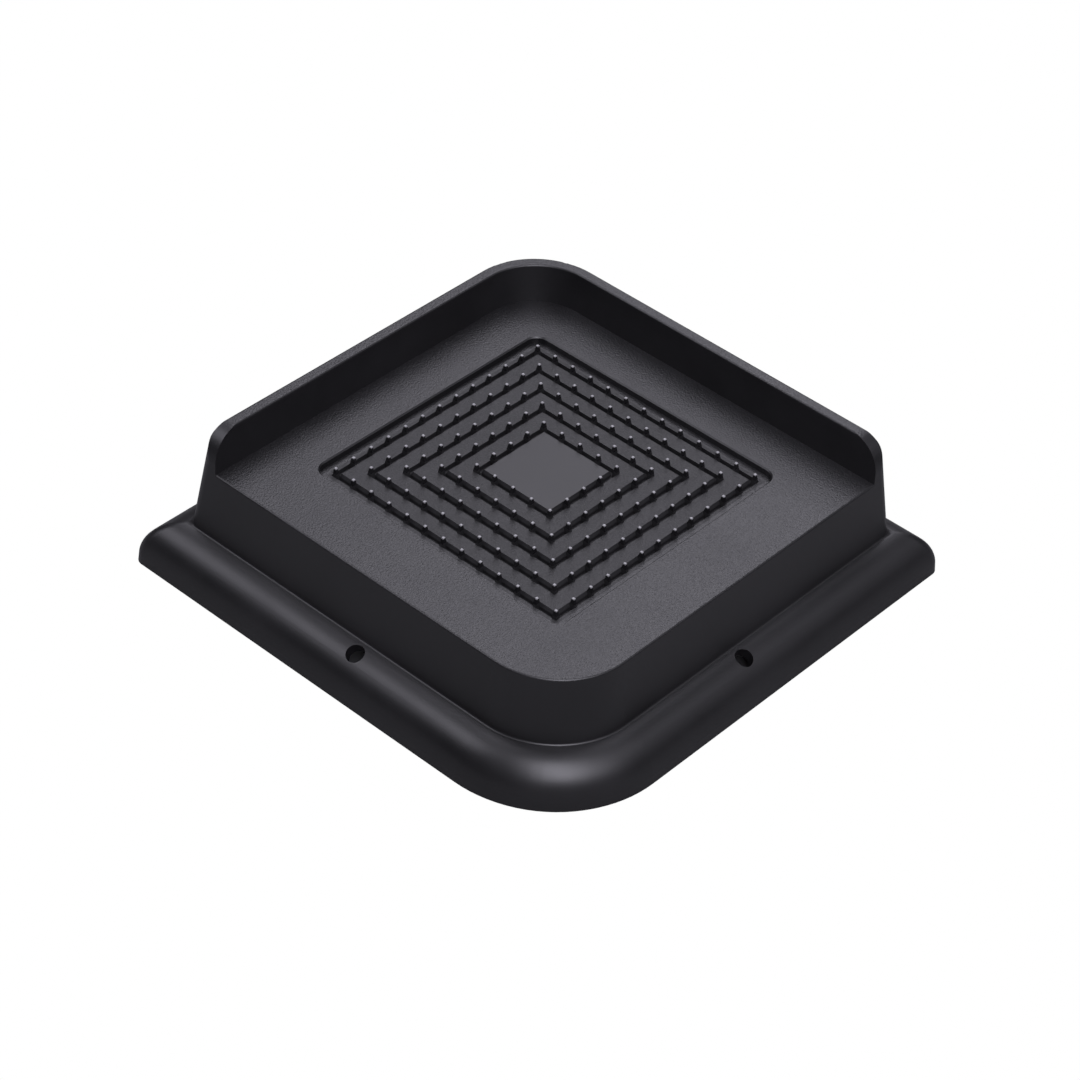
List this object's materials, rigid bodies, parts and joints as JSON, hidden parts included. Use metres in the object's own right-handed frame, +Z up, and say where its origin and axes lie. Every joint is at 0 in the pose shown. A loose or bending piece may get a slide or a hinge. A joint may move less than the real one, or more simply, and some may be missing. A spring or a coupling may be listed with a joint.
{
  "type": "bed riser",
  "caption": "Low square stackable bed riser with a flared foot, a lip on two sides and a stepped, studded grip pattern in its deck.",
  "frame": {"origin": "middle of the square foot, on the floor", "axes": "+Z up; the lip stands on the +X and +Y sides and the open, rounded corner of the deck points to -X -Y"},
  "size_m": [0.1184, 0.1184, 0.0343],
  "materials": {
    "black_plastic": "fine matt grain"
  },
  "bodies": {
    "root": {"bed_riser": "black_plastic"}
  },
  "joints": []
}
